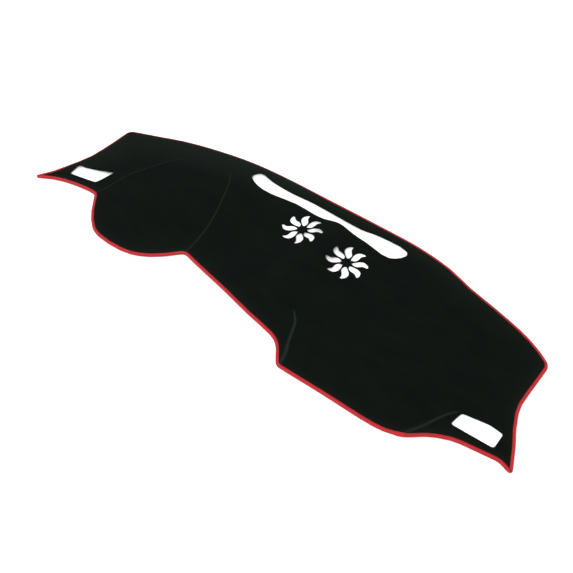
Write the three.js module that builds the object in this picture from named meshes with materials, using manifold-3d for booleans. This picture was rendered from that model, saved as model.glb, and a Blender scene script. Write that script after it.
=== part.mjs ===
// Dashboard cover mat: one panel of black pile cloth with a red tape folded round its edge.
// Millimetres, +Z up. X runs along the dashboard and +Y points towards the windshield.
// The mat lies as it comes to rest on a flat floor: the tape's rim lies down all the way round,
// the sewn darts lift soft domes in the cloth, and the rest of the cloth sinks to the floor.
import * as THREE from 'three';
import { mergeVertices } from 'three/addons/utils/BufferGeometryUtils.js';
import Module from 'manifold-3d';

const wasm = await Module();
wasm.setup();

// Cloth and tape
const CLOTH_THICKNESS = 4;
const TAPE_LIP = 2; // folded tape under the cloth, and the same again over it
const TAPE_LAP = 5.2; // how far the tape reaches in over the cloth
const TAPE_FOLD = 3; // how far the fold stands out past the cut edge
const TAPE_ROUNDING = 2.6; // rounding of the fold and of the lip's edges
const TAPE_CLEARANCE = 0.3; // between the cloth and the inside of the folded tape
const TAPE_HEIGHT = CLOTH_THICKNESS + 2 * TAPE_LIP;

// How the cloth lies
const FLAT_RIM = 6; // width of the band held flat by the tape
const SINK_WIDTH = 70; // over which the cloth sinks from the tape's lip to the floor
const RISE_WIDTH = 60; // over which a dome rises from the rim
const RISE_POWER = 1.5;
const GRID_STEP = 29; // spacing of the points that carry the cloth's shape

// Main sizes. Reaches go sideways from the car's centre line, depths go back from the driver's tip.
const DRIVER_REACH = 732;
const PASSENGER_REACH = 733;
const PASSENGER_TIP_DEPTH = 3;
const DRIVER_BACK_REACH = 663;
const PASSENGER_BACK_REACH = 671;
const BACK_DEPTH = 295; // of both back corners
const MIDDLE_REACH = 185; // front corner of the middle part
const MIDDLE_FORWARD = 83;
const HOOD_INNER_REACH = 214; // where the instrument hood's bulge ends
const HOOD_INNER_DEPTH = 44;
const HOOD_OUTER_REACH = 550; // and where it starts
const HOOD_OUTER_DEPTH = 54;

// How far each run of the edge stands off the straight line between its corners
const DRIVER_END_BOW = 26.9;
const WINDSHIELD_BOW = 128;
const PASSENGER_END_BOW = 28.6;
const PASSENGER_FRONT_BOW = 33.8;
const MIDDLE_FRONT_BOW = 37.8;
const HOOD_BOW = 101;
const DRIVER_FRONT_BOW = 13.4;

// Roundings of the corners
const DRIVER_TIP_ROUNDING = 4;
const PASSENGER_TIP_ROUNDING = 8;
const BACK_ROUNDING = 16;
const HOOD_ROUNDING = 13;
const MIDDLE_ROUNDING = 10;

// Cut edge of the cloth, clockwise from the driver's tip. Each run starts at a corner, which is
// rounded from `round` before it to `round` after it. Its form is a row of points: the share of the
// way to the next corner, and the share of the run's bow.
const EDGE_RUNS = [
  {
    name: 'driver end',
    corner: [-DRIVER_REACH, 0],
    round: DRIVER_TIP_ROUNDING,
    bow: -DRIVER_END_BOW,
    form: [[0.19, 0.61], [0.354, 0.86], [0.52, 1], [0.677, 0.77], [0.86, 0.37]],
  },
  {
    name: 'windshield edge',
    corner: [-DRIVER_BACK_REACH, BACK_DEPTH],
    round: BACK_ROUNDING,
    bow: WINDSHIELD_BOW,
    form: [
      [0.055, 0.23], [0.124, 0.52], [0.197, 0.73], [0.27, 0.88], [0.344, 0.95], [0.475, 0.98],
      [0.606, 1], [0.683, 0.99], [0.756, 0.88], [0.808, 0.7], [0.864, 0.56], [0.935, 0.35], [0.97, 0.19],
    ],
  },
  {
    name: 'passenger end',
    corner: [PASSENGER_BACK_REACH, BACK_DEPTH],
    round: BACK_ROUNDING,
    bow: -PASSENGER_END_BOW,
    form: [[0.225, 0.54], [0.435, 1], [0.595, 0.89], [0.76, 0.47]],
  },
  {
    name: 'passenger front',
    corner: [PASSENGER_REACH, PASSENGER_TIP_DEPTH],
    round: PASSENGER_TIP_ROUNDING,
    bow: PASSENGER_FRONT_BOW,
    form: [
      [0.054, -0.45], [0.154, -0.5], [0.245, -0.46], [0.33, -0.01], [0.41, 0.75], [0.495, 1.02],
      [0.587, 0.91], [0.764, 0.49],
    ],
  },
  {
    name: 'middle front',
    corner: [MIDDLE_REACH, -MIDDLE_FORWARD],
    round: MIDDLE_ROUNDING,
    bow: -MIDDLE_FRONT_BOW,
    form: [[0.09, 0.71], [0.145, 0.96], [0.204, 1], [0.384, 0.73], [0.62, 0.48], [0.856, 0.15]],
  },
  {
    name: 'instrument hood',
    corner: [-HOOD_INNER_REACH, HOOD_INNER_DEPTH],
    round: HOOD_ROUNDING,
    bow: HOOD_BOW,
    form: [[0.08, 0.33], [0.19, 0.67], [0.32, 0.9], [0.506, 1], [0.688, 0.95], [0.815, 0.69], [0.92, 0.33]],
  },
  {
    name: 'driver front',
    corner: [-HOOD_OUTER_REACH, HOOD_OUTER_DEPTH],
    round: HOOD_ROUNDING,
    bow: -DRIVER_FRONT_BOW,
    form: [[0.18, 0.58], [0.437, 1], [0.7, 0.94]],
  },
];
const EDGE_SAMPLE = 4; // step at which a run is read
const EDGE_TURN = 9; // degrees that the edge may turn between two points
const EDGE_STEP = 42; // longest step between two points of the edge
const CORNER_STEPS = 12;
const OFFSET_SLACK = 0.05;

// Domes that the darts and the fold in the middle leave. A place is a share of the reach on its
// side and a share of the back depth.
const HOOD_DOME_HEIGHT = 21;
const HOOD_DOME_LENGTH = 370; // half lengths and widths
const HOOD_DOME_WIDTH = 265;
const RIDGE_HEIGHT = 15;
const RIDGE_LENGTH = 430;
const RIDGE_WIDTH = 112;
const SWELL_HEIGHT = 4;
const SWELL_LENGTH = 230;
const SWELL_WIDTH = 170;
const HOOD_DOME = { height: HOOD_DOME_HEIGHT, along: HOOD_DOME_LENGTH, across: HOOD_DOME_WIDTH, power: 4 };
const RIDGE = { height: RIDGE_HEIGHT, along: RIDGE_LENGTH, across: RIDGE_WIDTH, power: 2 };
const SWELL = { height: SWELL_HEIGHT, along: SWELL_LENGTH, across: SWELL_WIDTH, power: 2 };
const DOME_FADE = 4;
const DOMES = [
  { ...HOOD_DOME, at: [-0.6, 0.85], turn: 0 },
  { ...RIDGE, at: [0.06, 0.99], turn: 92 },
  { ...SWELL, at: [-0.47, 1.09], turn: 0 },
  { ...SWELL, at: [0.12, 0.41], turn: 90 },
  { ...SWELL, at: [0.76, 0.27], turn: 20 },
];

// Vents: a form in shares of its width and depth, placed from a corner of its side
const VENT_ROUNDING = 7;
const DRIVER_VENT_WIDTH = 107;
const DRIVER_VENT_DEPTH = 74;
const DRIVER_VENT_OUTSET = 7.5; // past the driver's back corner
const DRIVER_VENT_FORM = [[0.02, 0], [0, 0.51], [1, 1], [0.81, 0.24]];
const PASSENGER_VENT_WIDTH = 102;
const PASSENGER_VENT_DEPTH = 51;
const PASSENGER_VENT_INSET = 57; // from the passenger's tip
const PASSENGER_VENT_FORM = [[0, 0], [0.06, 0.76], [0.67, 1], [1, 0.95], [1, 0.09]];
const VENT_FORWARD = 38; // from the passenger vent's front to the driver vent's front
const PASSENGER_VENT_SETBACK = 28;
const VENT_STEPS = 4;

// Defroster slot: a form in shares of its length and width, placed from the windshield edge
const SLOT_DENSITY = 3;
const SLOT_LENGTH = 496;
const SLOT_WIDTH = 52;
const SLOT_REACH = 262; // from the centre line to its driver's end
const SLOT_INSET = 27;
const SLOT_FORM = [
  [0, 0.56], [0.024, 0.92], [0.125, 0.83], [0.246, 0.79], [0.407, 0.88], [0.62, 0.81], [0.72, 0.85],
  [0.8, 1], [0.988, 0.98], [1, 0.67], [0.94, 0.1], [0.79, 0.25], [0.698, 0.29], [0.6, 0.42],
  [0.512, 0.23], [0.327, 0.29], [0.113, 0], [0.028, 0.23],
];

// Speaker openings: a ring of hooked petals in front of the slot. A petal's form is in shares of its
// reach from the ring's centre.
const PETAL_COUNT = 8;
const PETAL_REACH = 56;
const PETAL_DENSITY = 2; // steps of a smooth outline to each point of its form
const PETAL_FORM = [
  [0.223, 0.01], [0.34, 0.09], [0.5, 0.166], [0.66, 0.207], [0.82, 0.17], [0.938, 0.054], [1, -0.107],
  [0.955, -0.17], [0.82, -0.12], [0.714, -0.107], [0.57, -0.154], [0.438, -0.17], [0.295, -0.107],
];
const DRIVER_RING_GAP = 52; // from the slot to a ring's centre
const PASSENGER_RING_GAP = 74;
const SPEAKER_RINGS = [
  { share: 0.47, gap: DRIVER_RING_GAP, turn: 23.5 },
  { share: 0.788, gap: PASSENGER_RING_GAP, turn: 26 },
];

// Darts: a valley from the edge that runs out at the apex. A dart starts at a point of a run of the
// edge, where point 0 is the run's corner, and its own form is in shares of its length.
const DART_WIDTH = 3.4;
const DART_DEPTH = 1.4;
const DART_OVERRUN = 8; // past the edge, so that the cut is open there
const OUTER_HOOD_DART = 285;
const INNER_HOOD_DART = 310;
const MIDDLE_DART = 164;
const PASSENGER_DART = 143;
const OUTER_HOOD_FORM = [[0.26, 0.043], [0.53, 0.042], [0.78, 0.035]];
const INNER_HOOD_FORM = [[0.28, -0.06], [0.53, -0.075], [0.83, -0.052]];
const MIDDLE_FORM = [[0.22, -0.038], [0.56, -0.045], [0.85, -0.043]];
const PASSENGER_FORM = [[0.37, 0.04], [0.63, 0.054], [0.84, 0.039]];
const DARTS = [
  { run: 6, point: 0, length: OUTER_HOOD_DART, heading: 66.4, form: OUTER_HOOD_FORM },
  { run: 5, point: 0, length: INNER_HOOD_DART, heading: 108.6, form: INNER_HOOD_FORM },
  { run: 4, point: 0, length: MIDDLE_DART, heading: 113.7, form: MIDDLE_FORM },
  { run: 3, point: 5, length: PASSENGER_DART, heading: 61.6, form: PASSENGER_FORM },
];
const DART_STEPS = 10;

const FOLD_STEPS = 3; // facets of the tape's rounded fold
const WELD = 1e-4;
const CUT_MARGIN = 5; // how far a cutter runs past what it cuts
const CUT_TOP = TAPE_HEIGHT + HOOD_DOME_HEIGHT + RIDGE_HEIGHT + 3 * SWELL_HEIGHT + CUT_MARGIN;

function toSolid(geometry) {
  const plain = geometry.clone();
  plain.deleteAttribute('normal');
  plain.deleteAttribute('uv');
  const merged = mergeVertices(plain, WELD);
  return new wasm.Manifold(new wasm.Mesh({
    numProp: 3,
    vertProperties: new Float32Array(merged.attributes.position.array),
    triVerts: new Uint32Array(merged.index.array),
  }));
}

function toGeometry(solid) {
  const mesh = solid.getMesh();
  const geometry = new THREE.BufferGeometry();
  geometry.setAttribute('position', new THREE.BufferAttribute(mesh.vertProperties, 3));
  geometry.setIndex(new THREE.BufferAttribute(mesh.triVerts, 1));
  geometry.computeVertexNormals();
  return geometry;
}

const toVector2 = ([x, y]) => new THREE.Vector2(x, y);

// Keeps a point wherever the edge has turned or gone far enough since the last one kept.
function thinned(points) {
  const kept = [points[0]];
  let heading = null;
  for (let i = 1; i < points.length; i += 1) {
    const next = points[(i + 1) % points.length];
    const last = kept[kept.length - 1];
    const direction = next.clone().sub(points[i]).angle();
    heading ??= direction;
    const turned = Math.abs(Math.atan2(Math.sin(direction - heading), Math.cos(direction - heading)));
    if (THREE.MathUtils.radToDeg(turned) > EDGE_TURN || last.distanceTo(next) > EDGE_STEP) {
      kept.push(points[i]);
      heading = direction;
    }
  }
  return kept;
}

// The point at a share of the way from one point to another, and `off` to the left of that line.
function between(start, end, share, off) {
  const way = end.clone().sub(start);
  const left = new THREE.Vector2(-way.y, way.x).normalize();
  return start.clone().addScaledVector(way, share).addScaledVector(left, off);
}

// Corner, form and next corner of a run of the edge.
function runPoints(run) {
  const start = toVector2(run.corner);
  const end = toVector2(EDGE_RUNS[(EDGE_RUNS.indexOf(run) + 1) % EDGE_RUNS.length].corner);
  return [start, ...run.form.map(([share, bow]) => between(start, end, share, bow * run.bow)), end];
}

// Closed loop of the cloth's cut edge.
function cutEdge() {
  const runs = EDGE_RUNS.map((run, i) => {
    const next = EDGE_RUNS[(i + 1) % EDGE_RUNS.length];
    const points = runPoints(run).map(({ x, y }) => new THREE.Vector3(x, y, 0));
    const curve = new THREE.CatmullRomCurve3(points, false, 'centripetal');
    const length = curve.getLength();
    const steps = Math.round(length / EDGE_SAMPLE);
    return { curve, from: run.round / length, to: 1 - next.round / length, steps };
  });
  const loop = [];
  runs.forEach((run, i) => {
    for (let step = 0; step < run.steps; step += 1) {
      const point = run.curve.getPointAt(run.from + ((run.to - run.from) * step) / run.steps);
      loop.push(new THREE.Vector2(point.x, point.y));
    }
    const following = runs[(i + 1) % runs.length];
    const { x: endX, y: endY } = run.curve.getPointAt(run.to);
    const { x: startX, y: startY } = following.curve.getPointAt(following.from);
    const corner = toVector2(EDGE_RUNS[(i + 1) % runs.length].corner);
    const end = new THREE.Vector2(endX, endY);
    const rounding = new THREE.QuadraticBezierCurve(end, corner, new THREE.Vector2(startX, startY));
    loop.push(...rounding.getPoints(CORNER_STEPS).slice(0, -1));
  });
  return thinned(loop);
}

// The loop runs clockwise, so its outward side is on the left of its direction. Where an inward
// offset folds over itself in a sharp tip, the points that lie too near the loop are dropped.
function offsetLoop(loop, distance) {
  const moved = loop.map((point, i) => {
    const before = loop[(i + loop.length - 1) % loop.length];
    const after = loop[(i + 1) % loop.length];
    const sideBefore = point.clone().sub(before).normalize();
    const sideAfter = after.clone().sub(point).normalize();
    const middle = sideBefore.clone().add(sideAfter).normalize();
    const stretch = distance / middle.dot(sideAfter);
    return new THREE.Vector2(point.x - middle.y * stretch, point.y + middle.x * stretch);
  });
  return moved.filter(({ x, y }) => distanceToLoop(loop, x, y) > Math.abs(distance) - OFFSET_SLACK);
}

function distanceToLoop(loop, x, y) {
  let nearest = Infinity;
  for (let i = 0; i < loop.length; i += 1) {
    const a = loop[i];
    const b = loop[(i + 1) % loop.length];
    const abx = b.x - a.x;
    const aby = b.y - a.y;
    const share = THREE.MathUtils.clamp(((x - a.x) * abx + (y - a.y) * aby) / (abx * abx + aby * aby), 0, 1);
    nearest = Math.min(nearest, Math.hypot(x - a.x - share * abx, y - a.y - share * aby));
  }
  return nearest;
}

function domeHeight(dome, x, y) {
  const turn = THREE.MathUtils.degToRad(dome.turn);
  const [shareX, shareY] = dome.at;
  const dx = x - shareX * (shareX < 0 ? DRIVER_REACH : PASSENGER_REACH);
  const dy = y - shareY * BACK_DEPTH;
  const along = (Math.cos(turn) * dx + Math.sin(turn) * dy) / dome.along;
  const across = (Math.cos(turn) * dy - Math.sin(turn) * dx) / dome.across;
  const reach = Math.hypot(along, across);
  return reach < 1 ? dome.height * (1 - reach ** dome.power) ** DOME_FADE : 0;
}

// Height of the cloth's underside over the floor.
function underside(loop, x, y) {
  const inside = Math.max(0, distanceToLoop(loop, x, y) - FLAT_RIM);
  const rim = TAPE_LIP * (1 - THREE.MathUtils.smoothstep(inside, 0, SINK_WIDTH));
  const rise = 1 - Math.exp(-((inside / RISE_WIDTH) ** RISE_POWER));
  return rim + rise * DOMES.reduce((sum, dome) => sum + domeHeight(dome, x, y), 0);
}

function drape(geometry, loop) {
  const position = geometry.attributes.position;
  for (let i = 0; i < position.count; i += 1) {
    position.setZ(i, position.getZ(i) + underside(loop, position.getX(i), position.getY(i)));
  }
  return geometry;
}

function prism(outline, low = -CUT_MARGIN, high = CUT_TOP) {
  const shape = new THREE.Shape(outline);
  const geometry = new THREE.ExtrudeGeometry(shape, { depth: high - low, bevelEnabled: false });
  return toSolid(geometry.translate(0, 0, low));
}

// A form in shares of a frame, whose corner lies at x and y.
function framed(form, x, y, width, depth) {
  return form.map(([shareX, shareY]) => new THREE.Vector2(x + shareX * width, y + shareY * depth));
}

function roundedPolygon(points, rounding) {
  const outline = [];
  points.forEach((corner, i) => {
    const before = points[(i + points.length - 1) % points.length];
    const after = points[(i + 1) % points.length];
    const from = corner.clone().lerp(before, rounding / corner.distanceTo(before));
    const to = corner.clone().lerp(after, rounding / corner.distanceTo(after));
    outline.push(...new THREE.QuadraticBezierCurve(from, corner, to).getPoints(VENT_STEPS));
  });
  return outline;
}

// A rounded closed outline through the points, with `density` steps to each of them.
function smoothOutline(points, density) {
  const places = points.map(({ x, y }) => new THREE.Vector3(x, y, 0));
  const curve = new THREE.CatmullRomCurve3(places, true, 'centripetal');
  const outline = curve.getPoints(density * points.length).slice(0, -1);
  return outline.map(({ x, y }) => new THREE.Vector2(x, y));
}

function petalOutlines(x, y, turn) {
  const petal = smoothOutline(framed(PETAL_FORM, 0, 0, PETAL_REACH, PETAL_REACH), PETAL_DENSITY);
  return Array.from({ length: PETAL_COUNT }, (_, i) => {
    const angle = THREE.MathUtils.degToRad(turn) + (i * 2 * Math.PI) / PETAL_COUNT;
    return petal.map((point) => point.clone().rotateAround(new THREE.Vector2(), angle).add({ x, y }));
  });
}

// Outlines of every opening in the cloth.
function openingOutlines() {
  const driverX = -DRIVER_BACK_REACH - DRIVER_VENT_OUTSET;
  const driverY = PASSENGER_VENT_SETBACK + VENT_FORWARD;
  const driverVent = framed(DRIVER_VENT_FORM, driverX, driverY, DRIVER_VENT_WIDTH, DRIVER_VENT_DEPTH);
  const passengerX = PASSENGER_REACH - PASSENGER_VENT_INSET - PASSENGER_VENT_WIDTH;
  const passengerVent = framed(
    PASSENGER_VENT_FORM,
    passengerX,
    PASSENGER_VENT_SETBACK,
    PASSENGER_VENT_WIDTH,
    PASSENGER_VENT_DEPTH,
  );
  const slotY = BACK_DEPTH + WINDSHIELD_BOW - SLOT_INSET - SLOT_WIDTH;
  const rings = SPEAKER_RINGS.flatMap(({ share, gap, turn }) => (
    petalOutlines(share * SLOT_LENGTH - SLOT_REACH, slotY - gap, turn)
  ));
  return [
    roundedPolygon(driverVent, VENT_ROUNDING),
    roundedPolygon(passengerVent, VENT_ROUNDING),
    smoothOutline(framed(SLOT_FORM, -SLOT_REACH, slotY, SLOT_LENGTH, SLOT_WIDTH), SLOT_DENSITY),
    ...rings,
  ];
}

// Points of a dart from past the edge to its apex.
function dartPoints(dart) {
  const mouth = runPoints(EDGE_RUNS[dart.run])[dart.point];
  const heading = THREE.MathUtils.degToRad(dart.heading);
  const way = new THREE.Vector2(Math.cos(heading), Math.sin(heading));
  const apex = mouth.clone().addScaledVector(way, dart.length);
  const form = dart.form.map(([share, off]) => between(mouth, apex, share, off * dart.length));
  return [mouth.clone().addScaledVector(way, -DART_OVERRUN), ...form, apex];
}

// A V-section carried from the mouth to the apex, climbing until it leaves the cloth's face.
function dartCutter(dart, loop) {
  const points = dartPoints(dart);
  const [start] = points;
  const climb = (point) => DART_DEPTH * (point.distanceTo(start) / (dart.length + DART_OVERRUN)) ** 2;
  const floor = CLOTH_THICKNESS - DART_DEPTH;
  const path = new THREE.CatmullRomCurve3(points.map((point) => (
    new THREE.Vector3(point.x, point.y, floor + climb(point))
  )));
  const height = DART_DEPTH + CUT_MARGIN;
  const spread = (DART_WIDTH / 2) * (height / DART_DEPTH);
  const section = new THREE.Shape([
    new THREE.Vector2(0, 0),
    new THREE.Vector2(-height, spread),
    new THREE.Vector2(-height, -spread),
  ]);
  const sweep = { extrudePath: path, steps: DART_STEPS, bevelEnabled: false };
  return toSolid(drape(new THREE.ExtrudeGeometry(section, sweep), loop));
}

function clothPanel(loop, bounds) {
  const size = bounds.getSize(new THREE.Vector2()).addScalar(2 * GRID_STEP);
  const centre = bounds.getCenter(new THREE.Vector2());
  const columns = Math.ceil(size.x / GRID_STEP);
  const rows = Math.ceil(size.y / GRID_STEP);
  const slab = new THREE.BoxGeometry(size.x, size.y, CLOTH_THICKNESS, columns, rows, 1);
  slab.translate(centre.x, centre.y, CLOTH_THICKNESS / 2);
  let panel = toSolid(drape(slab, loop)).intersect(prism(loop));
  // The folded tape pinches the cloth to one thickness along its rim.
  const above = TAPE_LIP + CLOTH_THICKNESS;
  const pinched = prism(offsetLoop(loop, TAPE_FOLD), above)
    .subtract(prism(offsetLoop(loop, -TAPE_LAP - TAPE_CLEARANCE), above - CUT_MARGIN, CUT_TOP + CUT_MARGIN));
  panel = panel.subtract(pinched);
  for (const outline of openingOutlines()) {
    panel = panel.subtract(prism(outline));
  }
  for (const dart of DARTS) {
    panel = panel.subtract(dartCutter(dart, loop));
  }
  return panel;
}

// A plate with a rounded rim, opened up to the tape's lap and hollowed to take the cloth's rim.
function edgeTape(loop) {
  const outline = new THREE.Shape(offsetLoop(loop, TAPE_FOLD - TAPE_ROUNDING));
  const geometry = new THREE.ExtrudeGeometry(outline, {
    depth: TAPE_HEIGHT - 2 * TAPE_ROUNDING,
    bevelSize: TAPE_ROUNDING,
    bevelThickness: TAPE_ROUNDING,
    bevelSegments: FOLD_STEPS,
  });
  geometry.translate(0, 0, TAPE_ROUNDING);
  const fold = prism(
    offsetLoop(loop, TAPE_CLEARANCE),
    TAPE_LIP - TAPE_CLEARANCE,
    TAPE_HEIGHT - TAPE_LIP + TAPE_CLEARANCE,
  );
  return toSolid(geometry).subtract(prism(offsetLoop(loop, -TAPE_LAP))).subtract(fold);
}

const blackPile = new THREE.MeshStandardMaterial({ color: 0x141815, roughness: 0.95, metalness: 0 });
const redTape = new THREE.MeshStandardMaterial({ color: 0xd2243a, roughness: 0.7, metalness: 0 });

const loop = cutEdge();
const bounds = new THREE.Box2().setFromPoints(offsetLoop(loop, TAPE_FOLD));
const centre = bounds.getCenter(new THREE.Vector2());

function placed(name, solid, material) {
  const mesh = new THREE.Mesh(toGeometry(solid), material);
  mesh.name = name;
  mesh.position.set(-centre.x, -centre.y, 0);
  return mesh;
}

const mat = new THREE.Group();
mat.add(placed('mat_panel', clothPanel(loop, bounds), blackPile));
mat.add(placed('edge_binding', edgeTape(loop), redTape));

export default mat;
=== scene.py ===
import math
import random
from functools import partial

import bmesh
import bpy
import numpy as np
from bpy.props import FloatProperty, FloatVectorProperty, IntProperty, PointerProperty
from mathutils import Matrix, Vector
from mathutils.bvhtree import BVHTree


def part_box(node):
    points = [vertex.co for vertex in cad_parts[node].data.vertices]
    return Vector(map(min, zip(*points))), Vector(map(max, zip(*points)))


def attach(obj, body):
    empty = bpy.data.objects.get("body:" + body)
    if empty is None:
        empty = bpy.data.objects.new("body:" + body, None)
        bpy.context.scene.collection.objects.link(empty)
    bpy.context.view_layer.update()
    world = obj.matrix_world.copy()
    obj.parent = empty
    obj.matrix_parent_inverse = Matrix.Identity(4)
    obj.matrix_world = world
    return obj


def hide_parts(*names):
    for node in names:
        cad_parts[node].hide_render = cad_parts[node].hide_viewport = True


bl_info = {
    "name": "Dashboard Cover Mat",
    "version": (1, 0, 0),
    "blender": (4, 5, 0),
    "location": "View3D > Sidebar > Cover Mat",
    "description": "Dresses a dashboard cover mat: pile cloth, sewn darts, folded edge tape and its stitches",
    "category": "Object",
}

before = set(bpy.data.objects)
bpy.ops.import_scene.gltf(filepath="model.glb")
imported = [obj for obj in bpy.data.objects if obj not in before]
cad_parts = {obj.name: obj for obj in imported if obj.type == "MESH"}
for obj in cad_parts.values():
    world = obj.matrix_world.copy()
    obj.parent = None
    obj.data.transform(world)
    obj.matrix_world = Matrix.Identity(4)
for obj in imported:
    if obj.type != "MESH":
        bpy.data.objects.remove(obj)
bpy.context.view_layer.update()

PANEL_NODE = "mat_panel"
TAPE_NODE = "edge_binding"

MM = 0.001
WELD = 1e-6
IMAGE_SIDE = 573

# The mat's plan is drawn from the car's centre line and the driver's tip, in millimetres.
# This moves a point of the plan into the frame.
PLAN_CENTRE = (0.03, 170.38)

# Sewn darts: points from the mouth at the edge to the apex, the width at the mouth of the band painted
# lighter along the dart, all in millimetres of the plan, and the strength of that painted highlight.
DARTS = (
    (((-553, 48), (-532, 127), (-501, 197), (-470, 262), (-436, 315)), 4.2, 0.62),
    (((-212, 37), (-224, 132), (-244, 207), (-281, 293), (-313, 338)), 4.6, 0.80),
    (((190, -82), (181, -47), (163, -8), (144, 38), (119, 67)), 9.0, 1.0),
    (((508, -62), (514, -44), (532, -9), (546, 23), (560, 48), (574, 65)), 8.0, 0.85),
)
PUCKER_PITCH = 9.0
PUCKER_SHARE = 0.18
BAND_TAPER = 0.55

# The pile's form beside the tape and at a cut, in millimetres: where it starts to swell past the lap,
# how wide that rise is, how far the swell reaches in, and how far a cut's lying pile reaches in.
SWELL_START = -0.4
SWELL_RISE = 1.6
SWELL_REACH = 9.0
SINK_REACH = 1.2

# Height of the cloth's underside inside the tape, and how far past the tape the cloth eases out of
# its roll and the roll's lift fades, in millimetres.
RIM_HEIGHT = 2.0
ROLL_EASE = 4.0
LIFT_FADE = 26.0

# The opening of the tape's fold, and how much thicker it is where its ends lap, in millimetres.
TAPE_LIP = 1.75
JOIN_SWELL = 0.55
JOIN_WALL = 0.6

# Where the two ends of the tape start to overlap, and for how long, in millimetres.
JOIN_PLACE = (494, -67)
JOIN_LENGTH = 24.0

# The back edge and the driver's end roll down to the floor. Each entry gives a place along the
# mat, in millimetres of the plan, and the roll in degrees there.
BACK_ROLL = (
    (-740, 30), (-640, 34), (-450, 36), (-330, 42), (-140, 42), (-50, 24), (250, 18), (500, 12),
    (640, 6), (740, 0),
)
FULL_ROLL = 42
ROLL_DEPTH = (150, 260)
END_REACH = 655
END_DEPTH = (45, 90)


# Painted sheen: the pile's colour is made lighter near the edge, more where the edge rolls down. Each pair is
# for a flat edge and for a fully rolled one: how strong that is, and how far it reaches in, in millimetres.
RIM_PAINTED_SHEEN = (0.34, 0.95)
RIM_REACH = (15, 36)


def plan_point(x, y):
    """A point of the plan in metres of the frame."""
    return np.array([(x - PLAN_CENTRE[0]) * MM, (y - PLAN_CENTRE[1]) * MM])


def smooth_step(t):
    t = np.clip(t, 0.0, 1.0)
    return t * t * (3.0 - 2.0 * t)


class ClothSettings(bpy.types.PropertyGroup):
    mesh_step: FloatProperty(
        name="Mesh Step", description="Spacing of the cloth's mesh", default=4.5 * MM, unit="LENGTH",
    )
    thickness: FloatProperty(
        name="Thickness", description="Pile and backing together", default=4.0 * MM, unit="LENGTH",
    )
    rim: FloatProperty(
        name="Flat Rim", description="Band that the tape holds flat", default=6.0 * MM, unit="LENGTH",
    )
    cut_sink: FloatProperty(
        name="Cut Sink", description="How far the pile lies down at a cut", default=0.7 * MM, unit="LENGTH",
    )
    shoulder: FloatProperty(
        name="Pile Shoulder", description="How far the pile swells up beside the tape", default=2.6 * MM,
        unit="LENGTH",
    )
    dart_depth: FloatProperty(
        name="Dart Depth", description="Depth of the valley along a dart", default=1.5 * MM, unit="LENGTH",
    )
    dart_width: FloatProperty(
        name="Dart Width", description="Width of the valley along a dart", default=3.4 * MM, unit="LENGTH",
    )
    pile_colour: FloatVectorProperty(
        name="Pile Colour", description="Black pile", default=(0.0023, 0.0035, 0.0027), subtype="COLOR",
        size=3, min=0, max=1,
    )
    backing_colour: FloatVectorProperty(
        name="Backing Colour", description="Felt under the pile", default=(0.035, 0.036, 0.037),
        subtype="COLOR", size=3, min=0, max=1,
    )


class TapeSettings(bpy.types.PropertyGroup):
    step: FloatProperty(
        name="Step", description="Length of one step along the tape", default=3.0 * MM, unit="LENGTH",
    )
    fold: FloatProperty(
        name="Fold", description="How far the fold stands out past the cut edge", default=3.0 * MM,
        unit="LENGTH",
    )
    lap: FloatProperty(
        name="Lap", description="How far the tape reaches in over the cloth", default=5.2 * MM,
        unit="LENGTH",
    )
    seam_inset: FloatProperty(
        name="Seam Inset", description="From the lap's edge to the row of stitches", default=1.4 * MM,
        unit="LENGTH",
    )
    stitch_pitch: FloatProperty(
        name="Stitch Pitch", description="Length of one stitch and its gap", default=4.0 * MM,
        unit="LENGTH",
    )
    thread_diameter: FloatProperty(
        name="Thread Diameter", description="Sewing thread", default=0.5 * MM, unit="LENGTH",
    )
    colour: FloatVectorProperty(
        name="Tape Colour", description="Red woven tape", default=(0.38, 0.0062, 0.0110), subtype="COLOR",
        size=3, min=0, max=1,
    )
    thread_colour: FloatVectorProperty(
        name="Thread Colour", description="Red thread", default=(0.40, 0.009, 0.017), subtype="COLOR",
        size=3, min=0, max=1,
    )


class StageSettings(bpy.types.PropertyGroup):
    floor_colour: FloatVectorProperty(
        name="Floor Colour", description="Pale studio floor", default=(0.93, 0.93, 0.93), subtype="COLOR",
        size=3, min=0, max=1,
    )
    light_power: FloatProperty(
        name="Key Light", description="Power of the large soft light", default=60.0, min=0, unit="POWER",
    )
    azimuth: FloatProperty(
        name="Azimuth", description="Camera's turn round the mat", default=math.radians(38.18),
        subtype="ANGLE",
    )
    elevation: FloatProperty(
        name="Elevation", description="Camera's height angle", default=math.radians(49.76),
        subtype="ANGLE",
    )
    distance: FloatProperty(
        name="Distance", description="From the camera to its aim", default=2.0114, unit="LENGTH",
    )
    focal_pixels: FloatProperty(
        name="Focal Length", description="In pixels of the photograph's frame", default=818.64, min=1,
    )
    aim_x: FloatProperty(name="Aim X", description="Aim in the plan", default=56.87 * MM, unit="LENGTH")
    aim_y: FloatProperty(name="Aim Y", description="Aim in the plan", default=116.97 * MM, unit="LENGTH")


class MatSettings(bpy.types.PropertyGroup):
    cloth: PointerProperty(type=ClothSettings)
    tape: PointerProperty(type=TapeSettings)
    stage: PointerProperty(type=StageSettings)
    seed: IntProperty(name="Seed", description="Of every random draw", default=7, min=0)


# Reading the frame

def panel_underside():
    """The underside of the CAD cloth as a bmesh, with its outline and openings."""
    bm = bmesh.new()
    bm.from_mesh(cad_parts[PANEL_NODE].data)
    bmesh.ops.remove_doubles(bm, verts=bm.verts, dist=WELD)
    bm.normal_update()
    others = [face for face in bm.faces if face.normal.z > -0.3]
    bmesh.ops.delete(bm, geom=others, context="FACES")
    if not bm.faces:
        raise RuntimeError("the CAD cloth has no underside")
    return bm


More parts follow.
